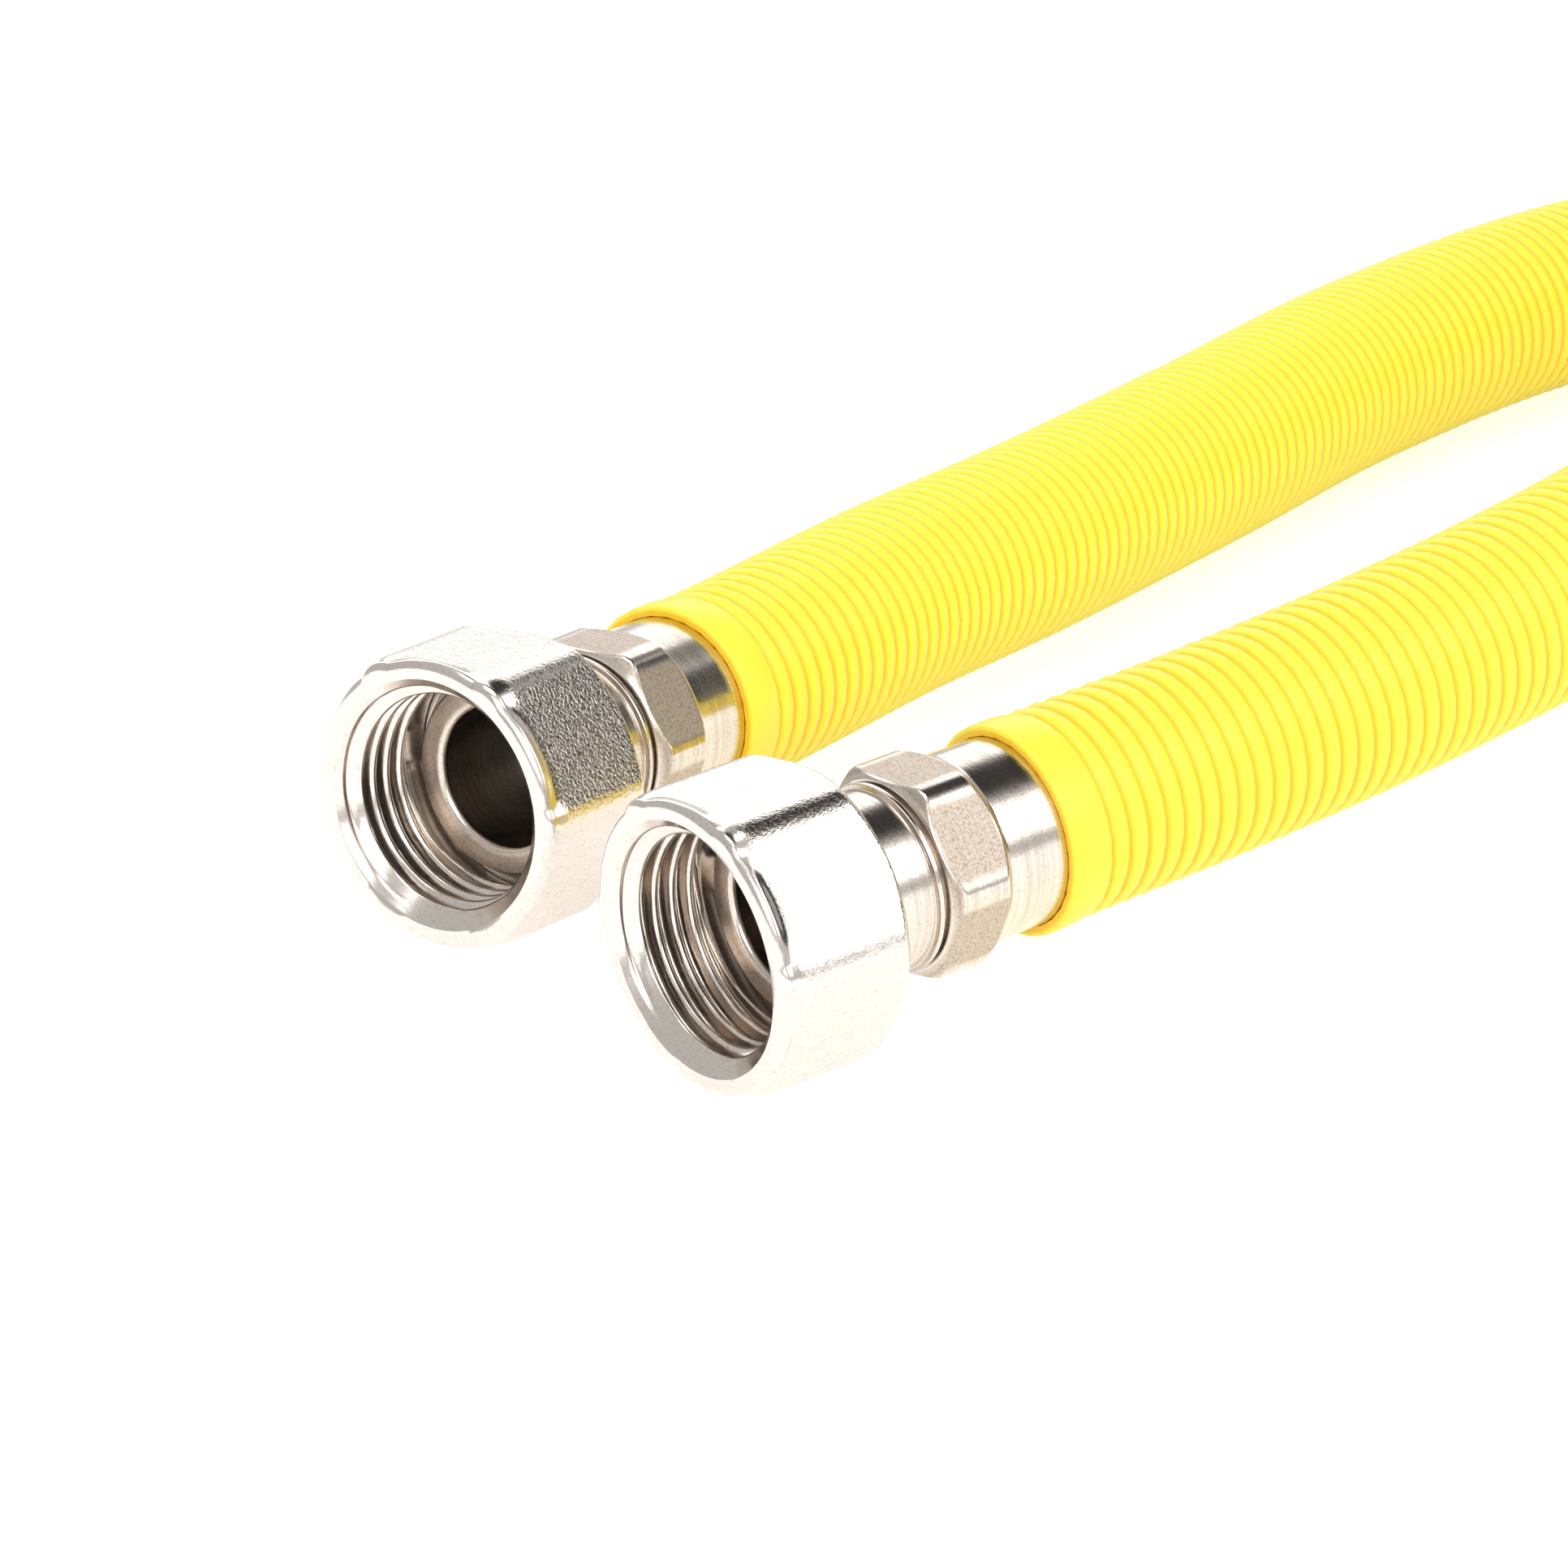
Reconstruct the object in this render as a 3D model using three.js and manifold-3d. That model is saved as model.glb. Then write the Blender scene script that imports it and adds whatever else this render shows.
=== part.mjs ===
// Flexible gas hose: a sheathed corrugated tube with a turned fitting and a loose union nut at each end.
// Millimetres, +Z up, the table at z = 0.
import * as THREE from "three";
import { mergeVertices } from "three/addons/utils/BufferGeometryUtils.js";
import Module from "manifold-3d";

const wasm = await Module();
wasm.setup();

// Union nut, with its stations measured from the mouth towards the hose.
const nutAcrossFlats = 24;
const nutCornerRadius = 13.36;
const rimFaceRadius = 12.75;
const rimRadius = 13.05;
const rimEdge = 0.35;
const rimThickness = 0.85;
const nutRearFaceRadius = 11.9;
const nutRearChamfer = 1.3;
const mouthRadius = 11.2;
const threadMinorRadius = 9.32;
const reliefRadius = 10.6;
const lipThickness = 1.65;
const lipHoleClearance = 0.3;

// Split retaining ring between the nut's lip and the back of the flange.
const ringClearance = 0.25;
const ringWall = 1.6;
const ringWidth = 0.85;
const ringEndPlay = 0.3;
const ringSplit = 2;

// End fitting, turned in one piece.
const seatDepth = 9;
const flangeRadius = 8.6;
const flangeThickness = 1.5;
const neckRadius = 7.75;
const neckLength = 9.1;
const beadRadius = 8.25;
const beadLength = 0.6;
const grooveRadius = 7.4;
const grooveLength = 0.4;
const hexAcrossFlats = 17;
const hexCornerRadius = 9.5;
const hexFrontFaceRadius = 8.4;
const hexFrontChamfer = 0.93;
const hexRearChamfer = 1.1;
const hexTipLength = 4.5;
const collarRadius = 8.3;
const collarLength = 7.2;
const boreRadius = 6.2;
const boreRounding = 0.8;

// Hose: the corrugated tube lies inside the sheath.
const sheathRadius = 9;
const sheathWall = 1.2;
const tubeClearance = 0.7;
const tubeWall = 0.9;
const hoseGap = 0.3;
const sheathSides = 12;
const tubeSides = 8;
const hoseSteps = 36;

// Resting places of the two ends. Each nut stands on its rim.
const nearMouth = new THREE.Vector2(-19.42, -23.96);
const nearYaw = 0;
const nearPitch = THREE.MathUtils.degToRad(5.42);
const nearHexTurn = THREE.MathUtils.degToRad(13.6);
const farMouth = new THREE.Vector2(-13.76, 20.34);
const farYaw = THREE.MathUtils.degToRad(15.58);
const farPitch = 0;
const farHexTurn = THREE.MathUtils.degToRad(-21.2);

// Route of the hose's centre line between the two fittings, chosen by hand.
const route = [
  [21.9, -23.9, 16.95],
  [35.9, -23.4, 18.25],
  [58.8, -21.3, 20.45],
  [91.2, -14.9, 23.55],
  [124.2, -1.9, 26.65],
  [153.9, 17.4, 28.85],
  [179.9, 41.6, 29.95],
  [202.6, 68.9, 29.95],
  [223.0, 98.0, 29.95],
  [242.4, 127.8, 28.9],
  [262.2, 157.3, 25.3],
  [283.9, 185.4, 20.3],
  [309.0, 210.5, 15.2],
  [338.3, 230.4, 11.1],
  [371.8, 241.8, 9.4],
  [407.1, 241.7, 9.2],
  [439.5, 227.8, 9.2],
  [463.0, 201.5, 9.2],
  [472.9, 167.7, 9.2],
  [467.4, 133.0, 9.2],
  [448.1, 103.5, 9.2],
  [419.3, 83.1, 9.2],
  [385.4, 72.6, 9.2],
  [350.0, 70.3, 9.2],
  [314.6, 73.5, 9.2],
  [279.6, 79.6, 9.2],
  [244.7, 85.9, 9.4],
  [209.4, 89.8, 9.9],
  [173.9, 88.4, 10.6],
  [139.8, 79.0, 10.95],
  [107.2, 64.8, 11.55],
  [74.6, 50.5, 12.55],
  [52.2, 41.7, 13.25],
  [35.4, 34.7, 13.45],
  [25.3, 31.2, 13.2],
];

// Stations that follow from the sizes above.
const flangeBack = seatDepth + flangeThickness;
const ringFront = flangeBack + ringEndPlay;
const ringBack = ringFront + ringWidth;
const lipFront = ringBack + ringEndPlay;
const nutLength = lipFront + lipThickness;
const beadFront = flangeBack + neckLength;
const grooveFront = beadFront + beadLength;
const hexFront = grooveFront + grooveLength;
const hexFrontTip = hexFront + hexFrontChamfer;
const hexRearTip = hexFrontTip + hexTipLength;
const hexRear = hexRearTip + hexRearChamfer;
const fittingEnd = hexRearTip + collarLength;

const roundSegments = 30;
const bladeMargin = 1;

const nutMaterial = new THREE.MeshStandardMaterial({ color: 0xb9afa6, roughness: 0.3, metalness: 1 });
const fittingMaterial = new THREE.MeshStandardMaterial({ color: 0xa89c90, roughness: 0.35, metalness: 1 });
const ringMaterial = new THREE.MeshStandardMaterial({ color: 0x9c9a96, roughness: 0.4, metalness: 1 });
const tubeMaterial = new THREE.MeshStandardMaterial({ color: 0xb4b4b2, roughness: 0.35, metalness: 1 });
const sheathMaterial = new THREE.MeshStandardMaterial({ color: 0xffea1c, roughness: 0.4, metalness: 0 });

function toSolid(geometry) {
  geometry.deleteAttribute("normal");
  geometry.deleteAttribute("uv");
  const merged = mergeVertices(geometry);
  const vertProperties = new Float32Array(merged.attributes.position.array);
  const triVerts = new Uint32Array(merged.index.array);
  return new wasm.Manifold(new wasm.Mesh({ numProp: 3, vertProperties, triVerts }));
}

function toMesh(name, solid, material) {
  const { vertProperties, triVerts } = solid.getMesh();
  const geometry = new THREE.BufferGeometry();
  geometry.setAttribute("position", new THREE.BufferAttribute(vertProperties, 3));
  geometry.setIndex(new THREE.BufferAttribute(triVerts, 1));
  geometry.computeVertexNormals();
  const mesh = new THREE.Mesh(geometry, material);
  mesh.name = name;
  return mesh;
}

// A turned solid along +Z from a closed outline of [radius, station] pairs, outer side first.
function turned(outline) {
  const points = [...outline, outline[0]].map(([radius, station]) => new THREE.Vector2(radius, station));
  const geometry = new THREE.LatheGeometry(points, roundSegments);
  geometry.rotateX(Math.PI / 2);
  return toSolid(geometry);
}

function circlePoints(radius, count, turn = 0) {
  const points = [];
  for (let i = 0; i < count; i += 1) {
    const angle = turn + (2 * Math.PI * i) / count;
    points.push(new THREE.Vector2(radius * Math.cos(angle), radius * Math.sin(angle)));
  }
  return points;
}

function cornerRadius(acrossFlats) {
  return acrossFlats / 2 / Math.cos(Math.PI / 6);
}

function hexPrism(acrossFlats, turn, from, to) {
  const outline = new THREE.Shape(circlePoints(cornerRadius(acrossFlats), 6, turn));
  const geometry = new THREE.ExtrudeGeometry(outline, { depth: to - from, bevelEnabled: false });
  geometry.translate(0, 0, from);
  return toSolid(geometry);
}

// A hexagonal nut with a round rim at its mouth, which stands a little proud of the flats.
function buildUnionNut(name) {
  const countersink = mouthRadius - threadMinorRadius;
  const flatRadius = nutAcrossFlats / 2;
  const rimFoot = rimThickness + rimRadius - flatRadius;
  const blank = turned([
    [rimFaceRadius, 0],
    [rimRadius, rimEdge],
    [rimRadius, rimThickness],
    [nutCornerRadius, rimFoot],
    [nutCornerRadius, nutLength - nutRearChamfer],
    [nutRearFaceRadius, nutLength],
    [flangeRadius + lipHoleClearance, nutLength],
    [flangeRadius + lipHoleClearance, lipFront],
    [reliefRadius, lipFront],
    [reliefRadius, flangeBack],
    [threadMinorRadius, flangeBack - (reliefRadius - threadMinorRadius)],
    [threadMinorRadius, countersink],
    [mouthRadius, 0],
  ]);
  const rim = turned([
    [nutCornerRadius, -bladeMargin],
    [nutCornerRadius, rimThickness],
    [rimRadius, rimThickness],
    [flatRadius, rimFoot],
    [neckRadius, rimFoot],
    [neckRadius, -bladeMargin],
  ]);
  const prism = hexPrism(nutAcrossFlats, 0, -bladeMargin, nutLength + bladeMargin);
  return toMesh(name, blank.intersect(prism.add(rim)), nutMaterial);
}

function buildRetainingRing(name) {
  const innerRadius = neckRadius + ringClearance;
  const outerRadius = innerRadius + ringWall;
  const ring = turned([
    [outerRadius, ringFront],
    [outerRadius, ringBack],
    [innerRadius, ringBack],
    [innerRadius, ringFront],
  ]);
  const blade = new THREE.BoxGeometry(2 * outerRadius, ringSplit, ringWidth + 2 * bladeMargin);
  blade.translate(outerRadius, 0, (ringFront + ringBack) / 2);
  return toMesh(name, ring.subtract(toSolid(blade)), ringMaterial);
}

// Rounded edge where the bore opens into the seat, from the seat inwards.
function boreEdge() {
  const arc = [];
  for (const degrees of [60, 30, 0]) {
    const angle = THREE.MathUtils.degToRad(degrees);
    const radius = boreRadius + boreRounding * (1 - Math.cos(angle));
    arc.push([radius, seatDepth + boreRounding * (1 - Math.sin(angle))]);
  }
  arc.push([boreRadius + boreRounding, seatDepth]);
  return [[boreRadius, seatDepth + boreRounding], ...arc.filter(([radius]) => radius > boreRadius)];
}

function buildEndFitting(name, hexTurn) {
  const beadEdge = beadLength / 4;
  const core = turned([
    [flangeRadius, seatDepth],
    [flangeRadius, flangeBack],
    [neckRadius, flangeBack],
    [neckRadius, beadFront],
    [beadRadius, beadFront + beadEdge],
    [beadRadius, grooveFront - beadEdge],
    [grooveRadius, grooveFront],
    [grooveRadius, hexFront],
    [collarRadius, hexFront],
    [collarRadius, fittingEnd],
    [boreRadius, fittingEnd],
    ...boreEdge(),
  ]);
  const wrenchBlank = turned([
    [hexFrontFaceRadius, hexFront],
    [hexCornerRadius, hexFrontTip],
    [hexCornerRadius, hexRearTip],
    [collarRadius, hexRear],
    [boreRadius + boreRounding, hexRear],
    [boreRadius + boreRounding, hexFront],
  ]);
  const prism = hexPrism(hexAcrossFlats, hexTurn, hexFront - bladeMargin, hexRear + bladeMargin);
  return toMesh(name, core.add(wrenchBlank.intersect(prism)), fittingMaterial);
}

// An end of the hose: +Z of the group runs from the mouth along the hose, +Y is its upper side.
function placeEnd(mouth, yaw, pitch) {
  const along = new THREE.Vector3(1, 0, 0);
  along.applyAxisAngle(new THREE.Vector3(0, -1, 0), pitch);
  along.applyAxisAngle(new THREE.Vector3(0, 0, 1), yaw);
  const across = new THREE.Vector3(-Math.sin(yaw), Math.cos(yaw), 0);
  const upper = new THREE.Vector3().crossVectors(along, across);
  const end = new THREE.Group();
  end.quaternion.setFromRotationMatrix(new THREE.Matrix4().makeBasis(across, upper, along));
  end.position.set(mouth.x, mouth.y, rimRadius * Math.cos(pitch) - rimEdge * Math.sin(pitch));
  end.updateMatrixWorld(true);
  return end;
}

function buildHoseCurve(nearEnd, farEnd) {
  const start = new THREE.Vector3(0, 0, fittingEnd + hoseGap).applyMatrix4(nearEnd.matrixWorld);
  const finish = new THREE.Vector3(0, 0, fittingEnd + hoseGap).applyMatrix4(farEnd.matrixWorld);
  const between = route.map((point) => new THREE.Vector3(...point));
  return new THREE.CatmullRomCurve3([start, ...between, finish]);
}

function buildHoseLayer(name, curve, outerRadius, wall, sides, material) {
  const outline = new THREE.Shape(circlePoints(outerRadius, sides));
  outline.holes.push(new THREE.Path(circlePoints(outerRadius - wall, sides).reverse()));
  const settings = { steps: hoseSteps, extrudePath: curve, bevelEnabled: false };
  const geometry = new THREE.ExtrudeGeometry(outline, settings);
  return toMesh(name, toSolid(geometry), material);
}

const nearEnd = placeEnd(nearMouth, nearYaw, nearPitch);
nearEnd.add(buildUnionNut("near_union_nut"));
nearEnd.add(buildRetainingRing("near_retaining_ring"));
nearEnd.add(buildEndFitting("near_end_fitting", nearHexTurn));

const farEnd = placeEnd(farMouth, farYaw, farPitch);
farEnd.add(buildUnionNut("far_union_nut"));
farEnd.add(buildRetainingRing("far_retaining_ring"));
farEnd.add(buildEndFitting("far_end_fitting", farHexTurn));

const hoseCurve = buildHoseCurve(nearEnd, farEnd);
const tubeRadius = sheathRadius - sheathWall - tubeClearance;
const group = new THREE.Group();
group.add(nearEnd);
group.add(farEnd);
group.add(buildHoseLayer("yellow_sheath", hoseCurve, sheathRadius, sheathWall, sheathSides, sheathMaterial));
group.add(buildHoseLayer("corrugated_steel_tube", hoseCurve, tubeRadius, tubeWall, tubeSides, tubeMaterial));

export default group;
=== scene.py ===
import math

import bmesh
import bpy
from bpy.props import FloatProperty, FloatVectorProperty, IntProperty, PointerProperty
from mathutils import Matrix, Vector


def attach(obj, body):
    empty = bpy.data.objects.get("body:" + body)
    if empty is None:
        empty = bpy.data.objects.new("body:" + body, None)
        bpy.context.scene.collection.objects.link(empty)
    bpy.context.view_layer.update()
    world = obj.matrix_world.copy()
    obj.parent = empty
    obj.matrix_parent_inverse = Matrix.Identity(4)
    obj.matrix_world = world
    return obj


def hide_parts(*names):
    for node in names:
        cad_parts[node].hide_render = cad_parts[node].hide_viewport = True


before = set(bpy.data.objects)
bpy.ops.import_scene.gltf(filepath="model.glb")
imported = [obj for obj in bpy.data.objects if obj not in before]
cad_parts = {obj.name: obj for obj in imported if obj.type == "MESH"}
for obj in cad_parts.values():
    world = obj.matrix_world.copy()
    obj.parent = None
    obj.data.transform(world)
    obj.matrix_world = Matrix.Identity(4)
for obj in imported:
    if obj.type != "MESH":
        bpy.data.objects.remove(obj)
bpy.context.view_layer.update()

bl_info = {
    "name": "Flexible gas hose",
    "version": (1, 0, 0),
    "blender": (4, 5, 0),
    "location": "3D View > Sidebar > Gas hose",
    "description": "A sheathed corrugated gas hose with a fitting and a union nut at each end",
    "category": "Object",
}

MM = 0.001
FULL_TURN = 2 * math.pi
TINY = 1e-6

# Resting places of the two ends: mouth of the nut, yaw, pitch and turn of the small hexagon.
END_PLACES = {
    "near": {"mouth": (-19.42, -23.96), "yaw": 0.0, "pitch": 5.42, "hex_turn": 13.6},
    "far": {"mouth": (-13.76, 20.34), "yaw": 15.58, "pitch": 0.0, "hex_turn": -21.2},
}

# Route of the hose's centre line between the two fittings, in millimetres.
ROUTE = (
    (21.9, -23.9, 16.95),
    (35.9, -23.4, 18.25),
    (58.8, -21.3, 20.45),
    (91.2, -14.9, 23.55),
    (124.2, -1.9, 26.65),
    (153.9, 17.4, 28.85),
    (179.9, 41.6, 29.95),
    (202.6, 68.9, 29.95),
    (223.0, 98.0, 29.95),
    (242.4, 127.8, 28.9),
    (262.2, 157.3, 25.3),
    (283.9, 185.4, 20.3),
    (309.0, 210.5, 15.2),
    (338.3, 230.4, 11.1),
    (371.8, 241.8, 9.4),
    (407.1, 241.7, 9.2),
    (439.5, 227.8, 9.2),
    (463.0, 201.5, 9.2),
    (472.9, 167.7, 9.2),
    (467.4, 133.0, 9.2),
    (448.1, 103.5, 9.2),
    (419.3, 83.1, 9.2),
    (385.4, 72.6, 9.2),
    (350.0, 70.3, 9.2),
    (314.6, 73.5, 9.2),
    (279.6, 79.6, 9.2),
    (244.7, 85.9, 9.4),
    (209.4, 89.8, 9.9),
    (173.9, 88.4, 10.6),
    (139.8, 79.0, 10.95),
    (107.2, 64.8, 11.55),
    (74.6, 50.5, 12.55),
    (52.2, 41.7, 13.25),
    (35.4, 34.7, 13.45),
    (25.3, 31.2, 13.2),
)

# Lamps: name, direction, distance, width and height in metres, and power in watts.
SOFTBOXES = (
    ("key_softbox", (0.49, -0.69, 0.53), 1.4, 1.2, 0.9, 5.5),
    ("back_softbox", (0.45, 0.76, 0.55), 1.6, 1.6, 1.0, 6),
    ("top_softbox", (-0.2, -0.1, 1.0), 1.5, 1.0, 1.0, 6),
    ("fill_softbox", (-0.62, -0.72, 0.5), 1.5, 1.0, 0.8, 10),
)

# Dark places of the studio: direction, and the angles in degrees where each is fully dark
# and where it has ended.
DARK_PLACES = (
    ((0.46, 0.07, 0.89), 16, 27),
    ((0.875, -0.335, 0.346), 14, 22),
)


def size(name, default, description):
    """A length in millimetres that a user may change."""
    return FloatProperty(name=name, default=default, min=0.01, description=description)


def colour(name, default, description):
    return FloatVectorProperty(
        name=name, default=default, size=3, min=0, max=1, subtype="COLOR", description=description
    )


class NutSizes(bpy.types.PropertyGroup):
    """Sizes of the two union nuts, in millimetres."""
    across_flats: size("Across flats", 24.0, "Spanner size of the nut")
    corner_rounding: size("Corner rounding", 3.2, "Radius on the six long edges")
    length: size("Length", 13.6, "From the mouth to the back of the lip")
    rim_bevel: size("Rim bevel", 0.5, "How far the rim's front edge is taken in")
    rim_step: size("Rim step", 0.25, "How far the rim lies inside the hexagon's corners")
    rim_radius: size("Rim radius", 12.7, "Round rim at the mouth, a little proud of the flats")
    rim_edge: size("Rim edge", 0.45, "Depth where the rim reaches its full radius")
    rim_thickness: size("Rim thickness", 0.85, "Depth where the rim starts to fall to the flats")
    rim_foot: size("Rim foot", 1.9, "Depth where the hexagon starts")
    axis_height: size("Axis height", 13.05, "Height of the nut's axis when it lies level")
    resting_edge: size("Resting edge", 0.35, "Depth of the edge that a tilted nut stands on")
    rear_face_radius: size("Rear face radius", 11.85, "Where the rear chamfer starts")
    rear_chamfer: size("Rear chamfer", 1.3, "Depth of the rear chamfer at the corners")
    mouth_radius: size("Mouth radius", 11.2, "Outer edge of the countersink")
    thread_pitch: size("Thread pitch", 1.814, "Half inch pipe thread, 14 to the inch")
    thread_minor_radius: size("Thread minor radius", 9.32, "Crests of the internal thread")
    thread_major_radius: size("Thread major radius", 10.48, "Roots of the internal thread")
    thread_end: size("Thread end", 8.5, "Depth of the last thread turn")
    relief_start: size("Relief start", 9.2, "Depth where the relief behind the thread starts")
    relief_radius: size("Relief radius", 10.6, "Turned relief behind the thread")
    lip_front: size("Lip front", 11.95, "Depth of the lip's inner face")
    lip_hole_radius: size("Lip hole radius", 8.9, "Hole that slides over the fitting")


class FittingSizes(bpy.types.PropertyGroup):
    """Sizes of the two turned end fittings, in millimetres from the nut's mouth."""
    seat_depth: size("Seat depth", 9.0, "Depth of the flat seat in the nut")
    flange_radius: size("Flange radius", 8.6, "Outer edge of the seat flange")
    flange_back: size("Flange back", 10.5, "Back face of the flange")
    neck_radius: size("Neck radius", 7.75, "Plain neck that the nut slides on")
    bead_front: size("Bead front", 19.6, "Start of the small bead")
    bead_radius: size("Bead radius", 8.25, "Outer radius of the bead")
    groove_front: size("Groove front", 20.2, "Start of the narrow groove")
    groove_radius: size("Groove radius", 7.4, "Bottom of the narrow groove")
    hex_front: size("Hexagon front", 20.6, "Front face of the small hexagon")
    hex_across_flats: size("Hexagon across flats", 17.0, "Spanner size of the fitting")
    hex_rounding: size("Hexagon corner rounding", 2.0, "Radius on its six long edges")
    hex_front_face_radius: size("Hexagon front face radius", 8.3, "Where its front chamfer starts")
    hex_front_tip: size("Hexagon front tip", 21.53, "Front end of its corners")
    hex_rear_tip: size("Hexagon rear tip", 26.03, "Rear end of its corners")
    hex_rear: size("Hexagon rear", 27.13, "Where the rear cone meets the collar")
    collar_radius: size("Collar radius", 8.3, "Plain collar that holds the hose")
    collar_end: size("Collar end", 33.23, "Hose end of the collar")
    bore_radius: size("Bore radius", 6.2, "Gas way through the fitting")
    bore_rounding: size("Bore rounding", 0.8, "Rounded edge between the seat and the bore")


class RingSizes(bpy.types.PropertyGroup):
    """Sizes of the split retaining rings, in millimetres."""
    front: size("Front", 10.8, "Depth of the ring's front face")
    back: size("Back", 11.65, "Depth of the ring's back face")
    inner_radius: size("Inner radius", 8.0, "Clear of the neck")
    outer_radius: size("Outer radius", 9.6, "Wider than the hole in the lip")
    split: size("Split", 2.0, "Gap between the ring's ends")


class HoseSizes(bpy.types.PropertyGroup):
    """Sizes of the sheath and of the corrugated tube in it, in millimetres."""
    start_gap: size("Start gap", 0.3, "From the collar's end to the start of the route")
    crest_radius: size("Crest radius", 9.15, "Outer radius over the ribs")
    cuff_radius: size("Cuff radius", 9.3, "Smooth cuff at each end")
    cuff_length: size("Cuff length", 3.9, "Smooth length before the first groove")
    lip_over_collar: size("Lip over collar", 0.5, "How far the cuff reaches back over the collar")
    lip_radius: size("Lip radius", 8.38, "Inner radius of the cuff round the collar")
    rib_pitch: size("Rib pitch", 1.95, "From one groove to the next")
    rib_depth: size("Rib depth", 0.5, "Depth of the grooves")
    inner_radius: size("Inner radius", 7.85, "Inside of the sheath")
    tube_crest_radius: size("Tube crest radius", 7.1, "Outer radius of the corrugated tube")
    tube_valley_radius: size("Tube valley radius", 6.3, "Valleys of the corrugated tube")
    tube_pitch: size("Tube pitch", 3.6, "From one corrugation to the next")
    tube_wall: size("Tube wall", 0.3, "Thickness of the steel")
    fine_near: size("Fine near stretch", 112.0, "Length of the near end with fine ribs")
    fine_far: size("Fine far stretch", 180.0, "Length of the far end with fine ribs")
    sides: IntProperty(name="Sides", default=28, min=8, description="Facets round the sheath")


class Finishes(bpy.types.PropertyGroup):
    """Colours of the finishes."""
    nut: colour("Nut", (0.80, 0.73, 0.67), "Nickel plating of the nuts")
    nut_stain: colour("Nut stain", (0.36, 0.29, 0.23), "Darker plating in the nuts' grain")
    fitting: colour("Fitting", (0.77, 0.70, 0.63), "Nickel plating of the fittings")
    fitting_stain: colour("Fitting stain", (0.34, 0.25, 0.18), "Darker plating in turning marks")
    hexagon_flat: colour("Hexagon flat", (0.52, 0.44, 0.36), "Matt flats of the small hexagon")
    ring: colour("Ring", (0.55, 0.53, 0.50), "Spring steel")
    tube: colour("Tube", (0.65, 0.65, 0.64), "Bright stainless steel")
    sheath: colour("Sheath", (1.0, 0.86, 0.06), "Yellow plastic on the ribs")
    # Painted shade: the grooves' deeper, more orange yellow stands in for the shade that falls in
    # them.
    sheath_groove_shade: colour("Sheath groove", (1.0, 0.60, 0.015), "Deeper yellow in the grooves")


class StageSettings(bpy.types.PropertyGroup):
    """Camera and studio."""
    azimuth: FloatProperty(name="Azimuth", default=-36.84, description="Camera azimuth in degrees")
    elevation: FloatProperty(
        name="Elevation", default=18.08, description="Camera elevation in degrees"
    )
    roll: FloatProperty(name="Roll", default=-1.065, description="Camera roll in degrees")
    distance: FloatProperty(
        name="Distance", default=0.8328, unit="LENGTH", description="Camera distance"
    )
    target: FloatVectorProperty(
        name="Target",
        default=(0.01177, 0.00436, 0.01355),
        unit="LENGTH",
        description="Centre of the view",
    )
    lens: FloatProperty(name="Lens", default=223.6, description="Focal length in millimetres")
    floor_size: FloatProperty(
        name="Floor size", default=6.0, unit="LENGTH", description="Side of the floor"
    )


class GasHoseSettings(bpy.types.PropertyGroup):
    """All settings of the gas hose."""
    nut: PointerProperty(type=NutSizes)
    fitting: PointerProperty(type=FittingSizes)
    ring: PointerProperty(type=RingSizes)
    hose: PointerProperty(type=HoseSizes)
    finishes: PointerProperty(type=Finishes)
    stage: PointerProperty(type=StageSettings)


class Signal:
    """A shader socket that can be used in Python expressions."""

    def __init__(self, tree, socket):
        self.tree = tree
        self.socket = socket

    def _math(self, operation, *values):
        return self.tree.node("ShaderNodeMath", {"operation": operation}, dict(enumerate(values)))

    def __add__(self, other):
        return self._math("ADD", self, other)

    def __sub__(self, other):
        return self._math("SUBTRACT", self, other)

    def __mul__(self, other):
        return self._math("MULTIPLY", self, other)

    def __rsub__(self, other):
        return self._math("SUBTRACT", other, self)

    __radd__ = __add__
    __rmul__ = __mul__

    def root(self):
        return self._math("SQRT", self)

    def clipped(self, low, high):
        """0 below low and 1 above high, smooth between them."""
        settings = {"interpolation_type": "SMOOTHSTEP"}
        inputs = {"Value": self, "From Min": low, "From Max": high}
        return self.tree.node("ShaderNodeMapRange", settings, inputs)


class Shading:
    """A node tree whose nodes are made by expressions."""

    def __init__(self, tree):
        self.nodes = tree.nodes
        self.links = tree.links

    def node(self, kind, settings=None, inputs=None, output=0):
        """Any node from its type, its settings and the values or links of its sockets."""
        made = self.nodes.new(kind)
        for key, value in (settings or {}).items():
            setattr(made, key, value)
        for key, value in (inputs or {}).items():
            self.feed(made.inputs[key], value)
        return Signal(self, made.outputs[output])

    def feed(self, socket, value):
        """Links a signal to a socket, or sets the socket to a plain value."""
        if isinstance(value, Signal):
            self.links.new(value.socket, socket)
        elif value is not None:
            socket.default_value = value

    def ray(self, kind):
        """1 for rays of a kind, such as Is Camera Ray, and 0 for others."""
        path = self.nodes.new("ShaderNodeLightPath")
        return Signal(self, path.outputs[kind])

    def split(self, vector):
        """The three parts of a vector."""
        made = self.nodes.new("ShaderNodeSeparateXYZ")
        self.feed(made.inputs[0], vector)
        return [Signal(self, made.outputs[i]) for i in range(3)]


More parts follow.
